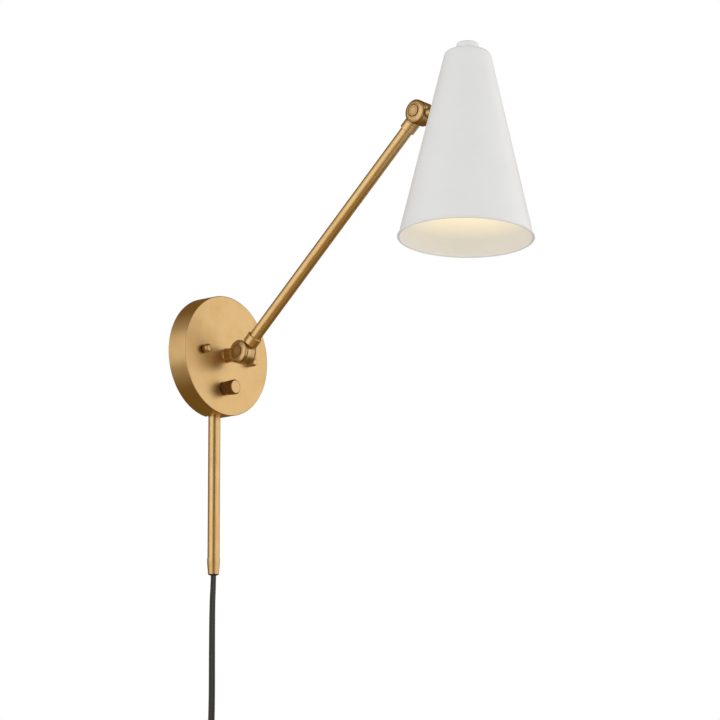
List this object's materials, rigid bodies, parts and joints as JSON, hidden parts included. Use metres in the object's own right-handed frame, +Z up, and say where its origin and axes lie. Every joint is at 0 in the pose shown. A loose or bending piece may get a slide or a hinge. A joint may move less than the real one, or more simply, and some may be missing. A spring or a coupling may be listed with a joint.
{
  "type": "swing arm wall sconce",
  "caption": "Plug-in wall light: round canopy, jointed swing arm on two knuckles, open conical metal shade, dimmer knob and a cord led down a cover tube.",
  "frame": {"origin": "centre of the mounting plate's back face, on the wall", "axes": "+Z up the wall, +Y into the wall, -Y out into the room, +X to the right as seen from the room"},
  "size_m": [0.1374, 0.4132, 0.9234],
  "materials": {
    "aged_brass": "brushed, aged and lacquered",
    "plain_brass": "plain turned",
    "zinc_steel": "zinc plated",
    "green_screw": "green",
    "white_enamel": "satin white enamel",
    "socket_metal": "satin",
    "white_ceramic": "glazed",
    "frosted_glass": "frosted, lit warm",
    "black_plastic": "moulded",
    "black_rubber": "matt",
    "cord_black": "two-core flat cord sheath",
    "red_plastic": "twist-on connector",
    "tie_black": "tie band",
    "washer_fibre": "fibre friction washer",
    "blade_brass": "plain rolled"
  },
  "bodies": {
    "wall_mount": {"canopy": "aged_brass", "mounting_plate": "zinc_steel", "mounting_studs": "zinc_steel", "stud_locknuts": "zinc_steel", "finial_nuts": "aged_brass", "ground_screw": "green_screw", "wire_connectors": "red_plastic", "tube_bracket": "zinc_steel", "tube_bracket_screw": "zinc_steel", "cord_cover_tube": "aged_brass", "cord_ferrule": "aged_brass", "cord_grommet": "black_rubber", "cord_inside_tube": "cord_black", "dimmer_body": "black_plastic", "dimmer_nut": "zinc_steel", "cord": "cord_black", "cord_hank": "cord_black", "cord_tail": "cord_black", "cord_ties": "tie_black", "plug_body": "black_plastic", "plug_blades": "blade_brass"},
    "dimmer_knob": {"dimmer_shaft": "zinc_steel", "dimmer_knob": "aged_brass"},
    "neck": {"neck": "aged_brass", "neck_washer": "aged_brass", "neck_inner_washer": "plain_brass", "neck_nut": "plain_brass", "lower_pivot_screw": "aged_brass", "lower_pivot_nut": "aged_brass", "lower_friction_washers": "washer_fibre"},
    "arm": {"lower_tang": "aged_brass", "lower_collar": "aged_brass", "arm_tube": "aged_brass", "arm_wire": "cord_black", "upper_collar": "aged_brass", "upper_fork": "aged_brass", "upper_pivot_screw": "aged_brass", "upper_pivot_nut": "aged_brass", "upper_friction_washers": "washer_fibre"},
    "head": {"shade_stem": "aged_brass", "shade_saddle": "white_enamel", "shade": "white_enamel", "stem_washer": "zinc_steel", "stem_nut": "zinc_steel", "top_cap": "white_enamel", "top_stud": "plain_brass", "socket_cup": "socket_metal", "lampholder": "white_ceramic", "socket_shell": "plain_brass", "bulb_base": "socket_metal", "bulb_glass": "frosted_glass"}
  },
  "joints": [
    {"name": "base_swivel", "type": "hinge", "parent": "wall_mount", "child": "neck", "pos_m": [0, -0.024, 0], "axis": [0, 1, 0], "range_deg": [-75, 75]},
    {"name": "arm_hinge", "type": "hinge", "parent": "neck", "child": "arm", "pos_m": [0, -0.047, 0], "axis": [-0.998, 0, 0.0628], "range_deg": [-88.8, 36.2]},
    {"name": "shade_tilt", "type": "hinge", "parent": "arm", "child": "head", "pos_m": [0.01389, -0.27768, 0.22077], "axis": [-0.998, 0, 0.0628], "range_deg": [-30, 75]},
    {"name": "dimmer_turn", "type": "hinge", "parent": "wall_mount", "child": "dimmer_knob", "pos_m": [-0.00222, -0.024, -0.03533], "axis": [0, -1, 0], "range_deg": [-150, 150]}
  ]
}
